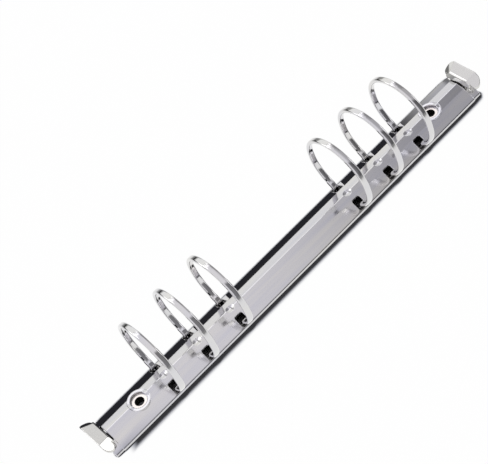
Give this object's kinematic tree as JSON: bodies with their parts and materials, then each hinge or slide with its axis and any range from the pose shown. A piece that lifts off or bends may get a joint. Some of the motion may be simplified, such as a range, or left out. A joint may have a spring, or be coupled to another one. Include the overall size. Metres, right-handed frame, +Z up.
{
  "type": "ring binder mechanism",
  "caption": "Lever-operated ring binder mechanism: an arched plated-steel housing with round snap rings, hinge plates and a thumb lever at each end.",
  "frame": {"origin": "middle of the housing's foot, on the surface that it is fixed to", "axes": "+X along the housing to its rear end, +Y to the left across it, +Z up through the rings"},
  "size_m": [0.222, 0.0342, 0.038],
  "materials": {
    "nickel_plate": "bright nickel plate",
    "plain_steel": "rolled steel, dull plate",
    "eyelet_plate": "bright plate with a warm tint"
  },
  "bodies": {
    "frame": {"housing": "nickel_plate", "front_lever_pin": "plain_steel", "rear_lever_pin": "plain_steel", "front_eyelet": "eyelet_plate", "rear_eyelet": "eyelet_plate"},
    "left_leaf": {"left_hinge_plate": "plain_steel", "left_ring_1": "nickel_plate", "left_ring_2": "nickel_plate", "left_ring_3": "nickel_plate", "left_ring_4": "nickel_plate", "left_ring_5": "nickel_plate", "left_ring_6": "nickel_plate"},
    "right_leaf": {"right_hinge_plate": "plain_steel", "right_ring_1": "nickel_plate", "right_ring_2": "nickel_plate", "right_ring_3": "nickel_plate", "right_ring_4": "nickel_plate", "right_ring_5": "nickel_plate", "right_ring_6": "nickel_plate"},
    "front_lever": {"front_lever": "nickel_plate"},
    "rear_lever": {"rear_lever": "nickel_plate"}
  },
  "joints": [
    {"name": "left_leaf_hinge", "type": "hinge", "parent": "frame", "child": "left_leaf", "pos_m": [0, 0.00793, 0.00112], "axis": [-1, 0, 0], "range_deg": [0, 15]},
    {"name": "right_leaf_hinge", "type": "hinge", "parent": "frame", "child": "right_leaf", "pos_m": [0, -0.00793, 0.00112], "axis": [1, 0, 0], "range_deg": [0, 15]},
    {"name": "front_lever_hinge", "type": "hinge", "parent": "frame", "child": "front_lever", "pos_m": [-0.1064, 0, 0.0035], "axis": [0, -1, 0], "range_deg": [0, 21]},
    {"name": "rear_lever_hinge", "type": "hinge", "parent": "frame", "child": "rear_lever", "pos_m": [0.1064, 0, 0.0035], "axis": [0, 1, 0], "range_deg": [0, 21]}
  ],
  "couplings": [
    {"joint": "right_leaf_hinge", "follows": "left_leaf_hinge", "ratio": 1},
    {"joint": "front_lever_hinge", "follows": "left_leaf_hinge", "ratio": 1.4},
    {"joint": "rear_lever_hinge", "follows": "left_leaf_hinge", "ratio": 1.4}
  ]
}
